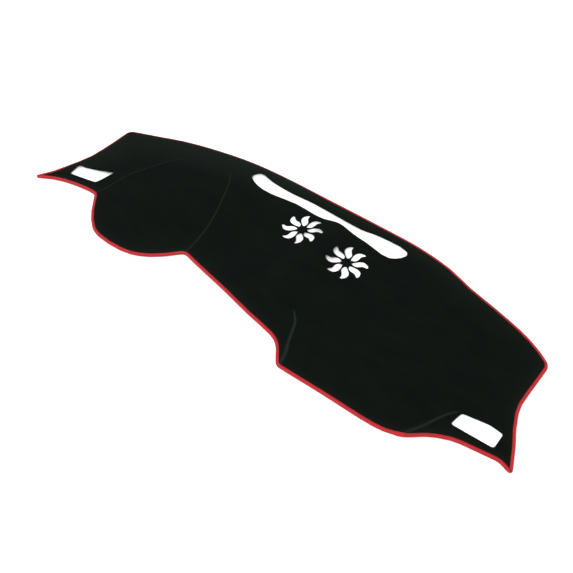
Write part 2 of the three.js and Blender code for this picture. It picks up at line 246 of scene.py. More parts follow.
def boundary_loops(bm):
    """Every rim of an open mesh as an array of plan points, the longest rim first.

    Each one starts at its leftmost point and runs the same way round, so every run gives the same loops.
    """
    rim = {edge for edge in bm.edges if edge.is_boundary}
    loops = []
    for edge in bm.edges:
        if edge not in rim:
            continue
        rim.discard(edge)
        first, vert = edge.verts
        points = [first.co.to_2d(), vert.co.to_2d()]
        while vert is not first:
            edge = next(e for e in vert.link_edges if e in rim)
            rim.discard(edge)
            vert = edge.other_vert(vert)
            points.append(vert.co.to_2d())
        loop = np.array(points[:-1])
        if twice_area(loop) < 0:
            loop = loop[::-1]
        loops.append(np.roll(loop, -int(np.lexsort((loop[:, 1], loop[:, 0]))[0]), axis=0))
    loops.sort(key=lambda loop: (-round(loop_length(loop), 6), *loop[0]))
    return loops


def twice_area(loop):
    """Twice the area inside a loop of plan points, positive where it runs anticlockwise."""
    x, y = loop.T
    return float(np.sum(x * np.roll(y, -1) - np.roll(x, -1) * y))


def loop_length(loop):
    return float(np.linalg.norm(np.roll(loop, -1, axis=0) - loop, axis=1).sum())


def path_distance(points, path, closed=False, reach=40 * MM):
    """Distance of plan points from a line of points, and how far along it each one lies.

    Points beyond the reach count as infinitely far.
    """
    ends = np.roll(path, -1, axis=0) if closed else path[1:]
    starts = path if closed else path[:-1]
    steps = ends - starts
    lengths = np.linalg.norm(steps, axis=1)
    before = np.concatenate([[0.0], np.cumsum(lengths)[:-1]])
    best = np.full(len(points), np.inf)
    along = np.zeros(len(points))
    order = np.argsort(points[:, 0])
    columns = points[order, 0]
    for start, step, length, passed in zip(starts, steps, lengths, before):
        if length < WELD:
            continue
        low, high = min(start[0], start[0] + step[0]) - reach, max(start[0], start[0] + step[0]) + reach
        near = order[np.searchsorted(columns, low):np.searchsorted(columns, high)]
        near = near[np.abs(points[near, 1] - start[1]) < reach + length]
        ways = points[near] - start
        share = np.clip(ways @ step / length**2, 0.0, 1.0)
        gap = np.linalg.norm(ways - share[:, None] * step, axis=1)
        nearer = (gap < best[near]) & (gap < reach)
        best[near[nearer]] = gap[nearer]
        along[near[nearer]] = passed + share[nearer] * length
    return best, along


def smooth_line(points, step):
    """A rounded line through a few plan points, with a point every step or so."""
    padded = np.vstack([2 * points[0] - points[1], points, 2 * points[-1] - points[-2]])
    line = []
    for i in range(1, len(padded) - 2):
        a, b, c, d = padded[i - 1:i + 3]
        count = max(2, round(float(np.linalg.norm(c - b)) / step))
        for t in np.arange(count) / count:
            line.append(0.5 * (2 * b + (c - a) * t + (2 * a - 5 * b + 4 * c - d) * t**2
                               + (3 * b - a - 3 * c + d) * t**3))
    line.append(points[-1])
    return np.array(line)


def dart_lines():
    return [smooth_line(np.array([plan_point(*point) for point in points]), 5 * MM) for points, *_ in DARTS]


class Lie:
    """How the cloth lies: a smooth height field read from the underside of the CAD cloth."""

    STEP = 5 * MM
    PASSES = 14

    def __init__(self, underside, outline, rim):
        low, high = (np.array(corner.to_2d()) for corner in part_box(PANEL_NODE))
        self.origin = low - 3 * self.STEP
        self.shape = np.ceil((high - low) / self.STEP).astype(int) + 7
        tree = BVHTree.FromBMesh(underside)
        heights = np.zeros(self.shape)
        for i in range(self.shape[0]):
            for j in range(self.shape[1]):
                x, y = self.origin + self.STEP * np.array([i, j])
                spot = tree.ray_cast(Vector((x, y, -1.0)), Vector((0, 0, 1)))[0]
                spot = spot or tree.find_nearest(Vector((x, y, 0.0)))[0]
                heights[i, j] = spot.z
        for _ in range(self.PASSES):
            padded = np.pad(heights, 1, mode="edge")
            across = (padded[:-2] + 2 * padded[1:-1] + padded[2:]) / 4
            heights = (across[:, :-2] + 2 * across[:, 1:-1] + across[:, 2:]) / 4
        if heights.max() <= 0:
            raise RuntimeError("the underside of the cloth wasn't found")
        self.heights = heights
        self.outline = outline
        self.rim = rim

    def __call__(self, points):
        place = (points - self.origin) / self.STEP
        cell = np.clip(np.floor(place).astype(int), 0, self.shape - 2)
        u, v = (place - cell).T
        i, j = cell.T
        h = self.heights
        raised = (h[i, j] * (1 - u) * (1 - v) + h[i + 1, j] * u * (1 - v)
                  + h[i, j + 1] * (1 - u) * v + h[i + 1, j + 1] * u * v)
        inside, _ = path_distance(points, self.outline, closed=True)
        free = smooth_step((inside - self.rim) / (3 * self.rim))
        return np.maximum(0.0, RIM_HEIGHT * MM * (1 - free) + raised * free)


# Making and keeping objects

def new_object(name, bm):
    mesh = bpy.data.meshes.new(name)
    bm.to_mesh(mesh)
    bm.free()
    obj = bpy.data.objects.new(name, mesh)
    bpy.context.scene.collection.objects.link(obj)
    for face in mesh.polygons:
        face.use_smooth = True
    return obj


def gathered(makers, batch=60):
    """One bmesh of many small shapes. Each maker adds its shape to the bmesh that it is given."""
    whole = bmesh.new()
    for first in range(0, len(makers), batch):
        part = bmesh.new()
        for make in makers[first:first + batch]:
            make(part)
        mesh = bpy.data.meshes.new("batch")
        part.to_mesh(mesh)
        part.free()
        whole.from_mesh(mesh)
        bpy.data.meshes.remove(mesh)
    return whole


def evaluated_mesh(obj):
    """The object's mesh with its modifiers applied, as a new mesh."""
    graph = bpy.context.evaluated_depsgraph_get()
    return bpy.data.meshes.new_from_object(obj.evaluated_get(graph))


def vertex_array(mesh):
    points = np.zeros(len(mesh.vertices) * 3)
    mesh.vertices.foreach_get("co", points)
    return points.reshape(-1, 3)


def point_attribute(mesh, name, values):
    attribute = mesh.attributes.new(name, "FLOAT", "POINT")
    attribute.data.foreach_set("value", np.asarray(values, dtype=np.float32))


# Material nodes

class NodeTree:
    """Short forms for building a material."""

    def __init__(self, name):
        self.material = bpy.data.materials.new(name)
        self.material.use_nodes = True
        self.tree = self.material.node_tree
        self.surface = self.tree.nodes["Principled BSDF"]
        self.place = self.add("ShaderNodeTexCoord").outputs["Object"]

    def add(self, kind, **settings):
        node = self.tree.nodes.new(kind)
        for key, value in settings.items():
            setattr(node, key, value)
        return node

    def link(self, source, target):
        self.tree.links.new(source, target)

    def noise(self, scale, detail=2.0, roughness=0.5, stretch=(1, 1, 1)):
        place = self.place
        if stretch != (1, 1, 1):
            mapping = self.add("ShaderNodeMapping")
            mapping.inputs["Scale"].default_value = stretch
            self.link(self.place, mapping.inputs["Vector"])
            place = mapping.outputs["Vector"]
        node = self.add("ShaderNodeTexNoise")
        node.inputs["Scale"].default_value = scale
        node.inputs["Detail"].default_value = detail
        node.inputs["Roughness"].default_value = roughness
        self.link(place, node.inputs["Vector"])
        return node.outputs["Fac"]

    def attribute(self, name):
        return self.add("ShaderNodeAttribute", attribute_name=name).outputs["Fac"]

    def math(self, operation, first, second):
        node = self.add("ShaderNodeMath", operation=operation)
        for socket, value in zip(node.inputs, (first, second)):
            if isinstance(value, (int, float)):
                socket.default_value = value
            else:
                self.link(value, socket)
        return node.outputs[0]

    def ramp(self, source, *stops):
        node = self.add("ShaderNodeValToRGB")
        while len(node.color_ramp.elements) < len(stops):
            node.color_ramp.elements.new(0.5)
        for element, (position, colour) in zip(node.color_ramp.elements, stops):
            element.position = position
            element.color = (*colour, 1.0)
        self.link(source, node.inputs["Fac"])
        return node.outputs["Color"]

    def range(self, source, low, high, new_low, new_high):
        node = self.add("ShaderNodeMapRange")
        for socket, value in zip(list(node.inputs)[1:5], (low, high, new_low, new_high)):
            socket.default_value = value
        self.link(source, node.inputs["Value"])
        return node.outputs["Result"]

    def mix(self, factor, first, second):
        node = self.add("ShaderNodeMix", data_type="RGBA")
        colours = [socket for socket in node.inputs if socket.type == "RGBA"]
        self.link(factor, node.inputs["Factor"])
        for socket, value in zip(colours, (first, second)):
            if isinstance(value, tuple):
                socket.default_value = (*value, 1.0)
            else:
                self.link(value, socket)
        return next(socket for socket in node.outputs if socket.type == "RGBA")

    def bump(self, height, distance, strength=1.0, under=None):
        node = self.add("ShaderNodeBump")
        node.inputs["Distance"].default_value = distance
        node.inputs["Strength"].default_value = strength
        self.link(height, node.inputs["Height"])
        if under is not None:
            self.link(under, node.inputs["Normal"])
        return node.outputs["Normal"]

    def finish(self, **sockets):
        for name, value in sockets.items():
            socket = self.surface.inputs[name.replace("_", " ")]
            if hasattr(value, "node"):
                self.link(value, socket)
            else:
                socket.default_value = value
        return self.material


def scaled(colour, share):
    return tuple(channel * share for channel in colour)


def pile_material(settings):
    """Short black pile: fibre grain, patches of other nap, painted sheen near the rim, painted highlights
    along the darts.
    """
    nodes = NodeTree("black_pile")
    colour = tuple(settings.pile_colour)
    grain = nodes.noise(1500.0, 3.0, 0.7)
    nap = nodes.noise(9.0, 3.0, 0.55, stretch=(1.0, 2.2, 1.0))
    brushed = nodes.noise(70.0, 2.0, 0.6, stretch=(0.35, 1.0, 1.0))
    lean = nodes.math("ADD", nodes.math("MULTIPLY", nap, 0.65), nodes.math("MULTIPLY", brushed, 0.35))
    base = nodes.ramp(lean, (0.32, scaled(colour, 0.80)), (0.68, scaled(colour, 1.25)))
    fibre = nodes.ramp(grain, (0.30, (0.55, 0.55, 0.55)), (0.75, (1.5, 1.5, 1.5)))
    tint = nodes.add("ShaderNodeMix", data_type="RGBA", blend_type="MULTIPLY")
    tint.inputs["Factor"].default_value = 1.0
    sockets = [socket for socket in tint.inputs if socket.type == "RGBA"]
    nodes.link(base, sockets[0])
    nodes.link(fibre, sockets[1])
    cloth = next(socket for socket in tint.outputs if socket.type == "RGBA")
    # Painted sheen: the pile's colour is made lighter near the edge.
    cloth = nodes.mix(nodes.attribute("rim"), cloth, scaled(colour, 3.8))
    # Painted highlight: the pile's colour is made lighter along each dart.
    painted_highlight = nodes.attribute("painted_dart_highlight")
    cloth = nodes.mix(painted_highlight, cloth, scaled(colour, 4.6))
    tufts = nodes.bump(grain, 0.5 * MM, 0.55)
    leaning = nodes.bump(lean, 1.6 * MM, 0.5, under=tufts)
    return nodes.finish(
        Base_Color=cloth,
        Roughness=0.95,
        Specular_IOR_Level=0.03,
        Sheen_Weight=0.015,
        Sheen_Roughness=0.45,
        Normal=leaning,
    )


def backing_material(settings):
    """Needled felt backing with fine grip dots."""
    nodes = NodeTree("felt_backing")
    colour = tuple(settings.backing_colour)
    fibres = nodes.noise(700.0, 4.0, 0.7)
    cloudy = nodes.noise(30.0, 3.0)
    base = nodes.ramp(fibres, (0.3, scaled(colour, 0.6)), (0.7, scaled(colour, 1.5)))
    dots = nodes.add("ShaderNodeTexVoronoi", feature="F1")
    dots.inputs["Scale"].default_value = 260.0
    dots.inputs["Randomness"].default_value = 0.0
    nodes.link(nodes.place, dots.inputs["Vector"])
    grip = nodes.range(dots.outputs["Distance"], 0.22, 0.30, 1.0, 0.0)
    base = nodes.mix(nodes.math("MULTIPLY", grip, 0.8), base, scaled(colour, 0.45))
    rough = nodes.range(cloudy, 0.3, 0.7, 0.85, 0.95)
    felt = nodes.bump(fibres, 0.4 * MM, 0.5)
    normal = nodes.bump(grip, 0.3 * MM, 0.8, under=felt)
    return nodes.finish(Base_Color=base, Roughness=rough, Specular_IOR_Level=0.2, Normal=normal)


def tape_material(settings):
    """Red woven tape: fine ribs, slightly uneven dye, speckled darkening towards the inner edge of its lap,
    and painted shade on its underside.
    """
    nodes = NodeTree("red_tape")
    colour = tuple(settings.colour)
    along = nodes.math("MULTIPLY", nodes.attribute("along"), 2 * math.pi / (0.55 * MM))
    across = nodes.math("MULTIPLY", nodes.attribute("across"), 2 * math.pi / (0.7 * MM))
    ribs = nodes.math("SINE", along, 0.0)
    yarns = nodes.math("SINE", across, 0.0)
    weave = nodes.range(nodes.math("MULTIPLY", ribs, yarns), -1.0, 1.0, 0.0, 1.0)
    dye = nodes.noise(45.0, 3.0, 0.6)
    fluff = nodes.noise(1800.0, 2.0, 0.6)
    dyed = nodes.ramp(dye, (0.3, scaled(colour, 0.86)), (0.7, scaled(colour, 1.10)))
    woven = nodes.mix(nodes.math("MULTIPLY", weave, 0.35), dyed, scaled(colour, 0.62))
    dark_speckle = nodes.noise(900.0, 2.0, 0.6)
    # Painted shade under the fold, and darkening towards the lap's inner edge, speckled by noise.
    lap_dark_and_painted_shade = nodes.math("MULTIPLY", nodes.attribute("shade"), nodes.range(dark_speckle, 0.35, 0.6, 0.55, 1.0))
    woven = nodes.mix(lap_dark_and_painted_shade, woven, scaled(colour, 0.10))
    height = nodes.math("ADD", weave, nodes.math("MULTIPLY", fluff, 0.6))
    return nodes.finish(
        Base_Color=woven,
        Roughness=nodes.range(fluff, 0.3, 0.7, 0.62, 0.80),
        Specular_IOR_Level=0.3,
        Sheen_Weight=0.04,
        Sheen_Roughness=0.4,
        Normal=nodes.bump(height, 0.12 * MM, 0.7),
    )


def thread_material(settings):
    """Twisted sewing thread."""
    nodes = NodeTree("red_thread")
    colour = tuple(settings.thread_colour)
    twist = nodes.noise(2400.0, 2.0, 0.5, stretch=(1.0, 0.4, 1.0))
    base = nodes.ramp(twist, (0.3, scaled(colour, 0.7)), (0.7, scaled(colour, 1.25)))
    return nodes.finish(Base_Color=base, Roughness=0.55, Specular_IOR_Level=0.4,
                        Normal=nodes.bump(twist, 0.1 * MM, 0.6))


def floor_material(settings):
    nodes = NodeTree("studio_floor")
    colour = tuple(settings.floor_colour)
    soft = nodes.noise(2.0, 2.0)
    base = nodes.ramp(soft, (0.3, scaled(colour, 0.995)), (0.7, colour))
    return nodes.finish(Base_Color=base, Roughness=0.9, Specular_IOR_Level=0.1)


# The cloth

def flat_cutter(underside, height):
    """A tall block with the cloth's outline and openings, to cut the flat cloth with."""
    bm = underside.copy()
    for vert in bm.verts:
        vert.co.z = -height
    made = bmesh.ops.extrude_face_region(bm, geom=bm.faces[:])
    lifted = [item for item in made["geom"] if isinstance(item, bmesh.types.BMVert)]
    bmesh.ops.translate(bm, verts=lifted, vec=(0, 0, 3 * height))
    bmesh.ops.recalc_face_normals(bm, faces=bm.faces)
    return new_object("cloth_cutter", bm)


def flat_cloth(step, thickness):
    """A flat block of cloth over the whole plan, divided into a fine grid."""
    low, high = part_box(PANEL_NODE)
    size = high - low + Vector((4 * step, 4 * step, 0))
    centre = (low + high) / 2
    bm = bmesh.new()
    bmesh.ops.create_grid(
        bm, x_segments=round(size.x / step), y_segments=round(size.y / step), size=0.5,
    )
    bmesh.ops.scale(bm, verts=bm.verts, vec=(size.x, size.y, 1))
    bmesh.ops.translate(bm, verts=bm.verts, vec=(centre.x, centre.y, 0))
    made = bmesh.ops.extrude_face_region(bm, geom=bm.faces[:])
    lifted = [item for item in made["geom"] if isinstance(item, bmesh.types.BMVert)]
    bmesh.ops.translate(bm, verts=lifted, vec=(0, 0, thickness))
    bmesh.ops.recalc_face_normals(bm, faces=bm.faces)
    return new_object(PANEL_NODE + "_cloth", bm)


def refine(bm, lines, loops, thickness):
    """Divides the cloth's face finely along each dart, beside the tape and round each opening."""
    outline, *openings = loops
    for dart_reach, rim_reach, cut_reach in ((14 * MM, 14 * MM, 9 * MM), (7 * MM, 9 * MM, 0.0)):
        points = np.array([vert.co.to_2d() for vert in bm.verts])
        near = path_distance(points, outline, closed=True)[0] < rim_reach
        for line in lines:
            near |= path_distance(points, line)[0] < dart_reach
        for opening in openings:
            near |= path_distance(points, opening, closed=True)[0] < cut_reach
        edges = [
            edge for edge in bm.edges
            if all(near[vert.index] and vert.co.z > thickness / 2 for vert in edge.verts)
        ]
        bmesh.ops.subdivide_edges(bm, edges=edges, cuts=1, use_grid_fill=True)
        bm.verts.index_update()


class MAT_OT_cloth(bpy.types.Operator):
    """Lay the pile cloth: cut from the flat to its outline, then dropped into the way it lies"""

    bl_idname = "mat.cloth"
    bl_label = "Pile Cloth"

    def execute(self, context):
        settings = context.scene.mat.cloth
        underside = panel_underside()
        loops = boundary_loops(underside)
        lie = Lie(underside, loops[0], settings.rim)
        cloth = self.cut(underside, settings)
        underside.free()
        mesh = cloth.data
        lines = dart_lines()
        bm = bmesh.new()
        bm.from_mesh(mesh)
        bmesh.ops.remove_doubles(bm, verts=bm.verts, dist=10 * WELD)
        refine(bm, lines, loops, settings.thickness)
        bm.to_mesh(mesh)
        bm.free()

        points = vertex_array(mesh)
        plan = points[:, :2]
        top = points[:, 2] > settings.thickness / 2
        edge = Edge(loops[0], context.scene.mat.tape)
        inside, along = path_distance(plan, edge.loop, closed=True, reach=3 * RIM_REACH[1] * MM)
        relief, painted_dart_highlight = self.darts(plan, lines, settings)
        pile = relief + self.swell(inside - edge.lap_at(along), settings) - self.sink(plan, loops, settings)
        points[:, 2] += lie(plan) + edge.cloth_lift(inside, along) + np.where(top, pile, 0.0)
        mesh.vertices.foreach_set("co", points.ravel())
        # Painted highlight along the darts, and painted sheen near the edge.
        point_attribute(mesh, "painted_dart_highlight", np.where(top, painted_dart_highlight, 0.0))
        point_attribute(mesh, "rim", np.where(top, self.painted_rim_sheen(edge, inside, along), 0.0))
        mesh.update()

        mesh.materials.clear()
        mesh.materials.append(pile_material(settings))
        mesh.materials.append(backing_material(settings))
        for face in mesh.polygons:
            face.use_smooth = True
            face.material_index = 1 if face.normal.z < -0.5 else 0
        mesh.set_sharp_from_angle(angle=math.radians(50))
        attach(cloth, "root")
        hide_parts(PANEL_NODE)
        return {"FINISHED"}

    @staticmethod
    def cut(underside, settings):
        """The flat cloth, cut to its outline and openings."""
        cutter = flat_cutter(underside, settings.thickness)
        cloth = flat_cloth(settings.mesh_step, settings.thickness)
        cut = cloth.modifiers.new("cut", "BOOLEAN")
        cut.operation = "INTERSECT"
        cut.solver = "EXACT"
        cut.object = cutter
        mesh = evaluated_mesh(cloth)
        if not mesh.polygons:
            raise RuntimeError("cutting the cloth to its outline left nothing")
        cloth.modifiers.clear()
        cloth.data = mesh
        bpy.data.objects.remove(cutter)
        return cloth

    @staticmethod
    def darts(plan, lines, settings):
        """The height that the darts give the pile, and how strongly a highlight is painted along each dart at
        each point.
        """
        relief, painted_dart_highlight = np.zeros(len(plan)), np.zeros(len(plan))
        for line, (_, band, shine) in zip(lines, DARTS):
            gap, along = path_distance(plan, line)
            share = along / along.max()
            pucker = 1 + PUCKER_SHARE * np.sin(2 * math.pi * along / (PUCKER_PITCH * MM))
            depth = settings.dart_depth * (1 - share**2) * pucker
            valley = np.exp(-(gap / (settings.dart_width / 2)) ** 2)
            shoulder = 0.35 * np.exp(-((gap - 2 * settings.dart_width) / (1.2 * settings.dart_width)) ** 2)
            relief += depth * (shoulder - valley)
            half = band * MM / 2 * (1 - BAND_TAPER * share)
            painted_highlight = shine * np.exp(-(gap / half) ** 2) * smooth_step((1.03 - share) / 0.12)
            painted_dart_highlight = np.maximum(painted_dart_highlight, painted_highlight)
        return relief, painted_dart_highlight

    @staticmethod
    def swell(past_lap, settings):
        """How far the pile swells up at a distance past the tape's lap."""
        rise = smooth_step((past_lap - SWELL_START * MM) / (SWELL_RISE * MM))
        return settings.shoulder * rise * np.exp(-(np.maximum(past_lap, 0) / (SWELL_REACH * MM)) ** 2)

    @staticmethod
    def sink(plan, loops, settings):
        """How far the pile lies down beside a cut."""
        gap = np.min([path_distance(plan, loop, closed=True)[0] for loop in loops], axis=0)
        return settings.cut_sink * np.exp(-(gap / (SINK_REACH * MM)) ** 2)

    @staticmethod
    def painted_rim_sheen(edge, inside, along):
        """How much sheen is painted into the pile's colour near the edge."""
        rolled = edge.along(edge.roll, along) / math.radians(FULL_ROLL)
        strength, reach = (np.interp(rolled, (0, 1), pair) for pair in (RIM_PAINTED_SHEEN, RIM_REACH))
        return strength * np.exp(-inside / (reach * MM))


# The tape

def even_loop(loop, step):
    """The loop with a point every step, its corners eased by the stiffness of the tape."""
    closed = np.vstack([loop, loop[:1]])
    passed = np.concatenate([[0.0], np.cumsum(np.linalg.norm(np.diff(closed, axis=0), axis=1))])
    count = round(passed[-1] / step)
    marks = np.linspace(0.0, passed[-1], count, endpoint=False)
    even = np.column_stack([np.interp(marks, passed, closed[:, axis]) for axis in (0, 1)])
    for _ in range(2):
        even = (np.roll(even, 1, axis=0) + 2 * even + np.roll(even, -1, axis=0)) / 4
    return even


def outward(loop):
    """Unit vectors that point away from the mat at each point of its outline."""
    direction = np.roll(loop, -1, axis=0) - np.roll(loop, 1, axis=0)
    direction /= np.linalg.norm(direction, axis=1)[:, None]
    sides = np.column_stack([direction[:, 1], -direction[:, 0]])
    return sides if twice_area(loop) > 0 else -sides


def inner_room(loop, normals, reach):
    """How far in from each point the tape can lap before it meets the lap of the other side."""
    low, high = np.zeros(len(loop)), np.full(len(loop), reach)
    for _ in range(12):
        middle = (low + high) / 2
        gap, _ = path_distance(loop - normals * middle[:, None], loop, closed=True)
        fits = gap > 0.97 * middle - 0.02 * MM
        low, high = np.where(fits, middle, low), np.where(fits, high, middle)
    return high


class Edge:
    """The cloth's cut edge as the tape meets it: even points, their outward sides, lap and roll."""

    def __init__(self, outline, settings, step=None):
        self.settings = settings
        self.loop = even_loop(outline, step or settings.step)
        self.normals = outward(self.loop)
        self.lap = inner_room(self.loop, self.normals, settings.lap)
        low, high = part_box(TAPE_NODE)
        self.height = high.z - low.z
        self.roll = self.back_roll()
        section = tape_section(settings, self.height)
        turned = (section[:, :1] - settings.fold) * np.cos(self.roll) + section[:, 1:] * np.sin(self.roll)
        self.shift = turned.max(axis=0)
        steps = np.linalg.norm(np.roll(self.loop, -1, axis=0) - self.loop, axis=1)
        self.marks = np.concatenate([[0.0], np.cumsum(steps)])

    def back_roll(self):
        """How far the edge rolls down at each point, in radians."""
        x = self.loop[:, 0] / MM + PLAN_CENTRE[0]
        y = self.loop[:, 1] / MM + PLAN_CENTRE[1]
        places, degrees = np.array(BACK_ROLL).T
        start, full = np.where(x[:, None] < -END_REACH, END_DEPTH, ROLL_DEPTH).T
        roll = np.interp(x, places, degrees) * smooth_step((y - start) / (full - start))
        for _ in range(10):
            roll = (np.roll(roll, 1) + 2 * roll + np.roll(roll, -1)) / 4
        return np.radians(roll)

    def along(self, values, passed):
        return np.interp(passed, self.marks, np.append(values, values[0]))

    def lap_at(self, passed):
        return self.along(self.lap, passed)

    def place(self, i, out, up):
        """The point of space at a place of the tape's flat section, rolled with the edge."""
        turn = self.roll[i]
        sideways = (out - self.settings.fold) * np.cos(turn) + up * np.sin(turn) - self.shift[i]
        height = (self.settings.fold - out) * np.sin(turn) + up * np.cos(turn)
        plan = self.loop[i] + np.outer(sideways + self.settings.fold, self.normals[i])
        return np.column_stack([plan, height])

    def cloth_lift(self, inside, passed):
        """How far the rolled tape lifts the cloth at a distance inside its cut edge."""
        turn, shift, lap = (self.along(values, passed) for values in (self.roll, self.shift, self.lap))
        middle = self.height / 2

        def held(distance):
            reach = (self.settings.fold + distance + middle * np.sin(turn) - shift) / np.cos(turn)
            return reach * np.sin(turn) + middle * np.cos(turn) - middle

        past = np.maximum(inside - lap, 0.0)
        ease = ROLL_EASE * MM
        lift = held(np.minimum(inside, lap)) + np.tan(turn) * ease * (1 - np.exp(-past / ease))
        return np.where(turn > 0, lift, 0.0) * (1 - smooth_step(past / (LIFT_FADE * MM)))


def tape_section(settings, height):
    """The folded tape's flat section: (outward, up) points in order round it, in metres."""
    fold, lap = settings.fold, settings.lap
    lip = TAPE_LIP * MM
    radius = height / 2
    section = []
    for turn in np.linspace(-90, 90, 9):
        angle = math.radians(turn)
        out = fold - 0.85 * radius * (1 - math.cos(angle))
        section.append((out, radius + radius * math.sin(angle)))
    section += [
        (-0.20 * lap, height - 0.15 * MM),
        (-0.40 * lap, height - 0.40 * MM),
        (-0.58 * lap, height - 0.75 * MM),
        (-0.72 * lap, height - 1.00 * MM),
        (-0.86 * lap, height - 0.95 * MM),
        (-0.96 * lap, height - 1.10 * MM),
        (-lap, height - 1.40 * MM),
        (-lap, height - lip),
        (-0.4 * lap, height - lip),
        (0.25 * MM, height - lip),
        (0.25 * MM, lip),
        (-0.4 * lap, lip),
        (-lap, lip),
        (-lap, 0.5 * MM),
        (-0.95 * lap, 0.1 * MM),
        (-0.5 * lap, 0.0),
    ]
    return np.array(section)


class MAT_OT_tape(bpy.types.Operator):
    """Fold the red tape round the cloth's cut edge"""

    bl_idname = "mat.tape"
    bl_label = "Edge Tape"

    def execute(self, context):
        settings = context.scene.mat.tape
        underside = panel_underside()
        edge = Edge(boundary_loops(underside)[0], settings)
        underside.free()
        section = tape_section(settings, edge.height)
        rings = []
        for i, lap in enumerate(edge.lap):
            reach = np.where(section[:, 0] < 0, section[:, 0] * lap / settings.lap, section[:, 0])
            rings.append(edge.place(i, reach, section[:, 1]))
        around = np.linalg.norm(np.roll(section, -1, axis=0) - section, axis=1)
        across = np.concatenate([[0.0], np.cumsum(around)[:-1]])
        passed = edge.marks

        bm = bmesh.new()
        layers = [bm.verts.layers.float.new(name) for name in ("along", "across", "shade")]
        # Darker towards the inner edge of the lap, and painted shade over the lower half of the fold.
        shade = 0.95 * smooth_step((-section[:, 0] / settings.lap - 0.45) / 0.55)
        shade = np.maximum(shade, 0.50 * smooth_step(1.5 - section[:, 1] / (0.5 * edge.height)))
        verts = [bm.verts.new(place) for place in rings[0]]
        edges = [bm.edges.new((verts[i - 1], verts[i])) for i in range(len(verts))]
        first = verts
        for index, ring in enumerate(rings):
            if index:
                made = bmesh.ops.extrude_edge_only(bm, edges=edges)["geom"]
                verts = self.matched(verts, made)
                for vert, place in zip(verts, ring):
                    vert.co = place
                new = set(verts)
                made_edges = (item for item in made if isinstance(item, bmesh.types.BMEdge))
                edges = [item for item in made_edges if new.issuperset(item.verts)]
            for vert, values in zip(verts, zip(across, shade)):
                vert[layers[0]] = passed[index]
                vert[layers[1]], vert[layers[2]] = values
        start = [bm.edges.get((first[i - 1], first[i])) for i in range(len(first))]
        bmesh.ops.bridge_loops(bm, edges=start + edges)
        bmesh.ops.recalc_face_normals(bm, faces=bm.faces)
        tape = new_object("edge_tape", bm)
        tape.data.materials.append(tape_material(settings))
        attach(tape, "root")
        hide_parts(TAPE_NODE)
        self.join(edge, settings, tape.data.materials[0])
        return {"FINISHED"}

    @staticmethod
    def join(edge, settings, material):
        """The end of the tape, lapped over its start as a slightly swollen sleeve."""
        start = int(np.linalg.norm(edge.loop - plan_point(*JOIN_PLACE), axis=1).argmin())
        count = round(JOIN_LENGTH * MM / settings.step)
        outer = tape_section(settings, edge.height)[:16]
        bm = bmesh.new()
        rows = []
        for i in range(count + 1):
            swell = JOIN_SWELL * MM * min(1.0, 0.30 + 2.8 * min(i, count - i) / count)
            row = []
            for out, up in outer:
                away = Vector((out + 0.6 * settings.fold, up - edge.height / 2)).normalized() * swell
                height = max(up + away.y, 0.1 * MM)
                index = (start + i) % len(edge.loop)
                spot = edge.place(index, np.array([out + away.x]), np.array([height]))[0]
                row.append(bm.verts.new(spot))
            rows.append([bm.edges.new(pair) for pair in zip(row, row[1:])])
        for before, after in zip(rows, rows[1:]):
            bmesh.ops.bridge_loops(bm, edges=before + after)
        bmesh.ops.recalc_face_normals(bm, faces=bm.faces)
        highest = max(bm.faces, key=lambda face: face.calc_center_median().z)
        if highest.normal.z < 0:
            bmesh.ops.reverse_faces(bm, faces=bm.faces)
        bmesh.ops.solidify(bm, geom=bm.faces[:] + bm.edges[:] + bm.verts[:], thickness=JOIN_WALL * MM)
        bmesh.ops.recalc_face_normals(bm, faces=bm.faces)
        lapped = new_object("tape_join", bm)
        lapped.data.materials.append(material)
        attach(lapped, "root")

    @staticmethod
    def matched(old, made):
        """The new vertex over each old one, before any is moved."""
        new = {item for item in made if isinstance(item, bmesh.types.BMVert)}
        return [next(edge.other_vert(vert) for edge in vert.link_edges if edge.other_vert(vert) in new)
                for vert in old]


class MAT_OT_tape_stitches(bpy.types.Operator):
    """Sew the tape down with a row of short stitches"""

    bl_idname = "mat.tape_stitches"
    bl_label = "Tape Stitches"

    def execute(self, context):
        settings = context.scene.mat.tape
        draw = random.Random(context.scene.mat.seed)
        underside = panel_underside()
        edge = Edge(boundary_loops(underside)[0], settings, step=settings.stitch_pitch)
        underside.free()
        inset = settings.seam_inset - settings.lap
        up = edge.height - 0.95 * MM
        places = [edge.place(i, np.array([inset]), np.array([up]))[0] for i in range(len(edge.loop))]
        makers = []
        for i, place in enumerate(places):
            if edge.lap[i] < 0.95 * settings.lap:
                continue
            direction = Vector(places[(i + 1) % len(places)] - place)
            width = settings.thread_diameter
            matrix = (
                Matrix.Translation(Vector(place) + direction / 2)
                @ direction.to_track_quat("X", "Z").to_matrix().to_4x4()
                @ Matrix.Rotation(math.radians(draw.uniform(-3, 3)), 4, "Z")
                @ Matrix.Diagonal((0.72 * direction.length, width, 1.2 * width, 1))
            )
            makers.append(partial(bmesh.ops.create_icosphere, subdivisions=1, radius=0.5, matrix=matrix))
        stitches = new_object("tape_stitches", gathered(makers))
        stitches.data.materials.append(thread_material(settings))
        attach(stitches, "root")
        return {"FINISHED"}


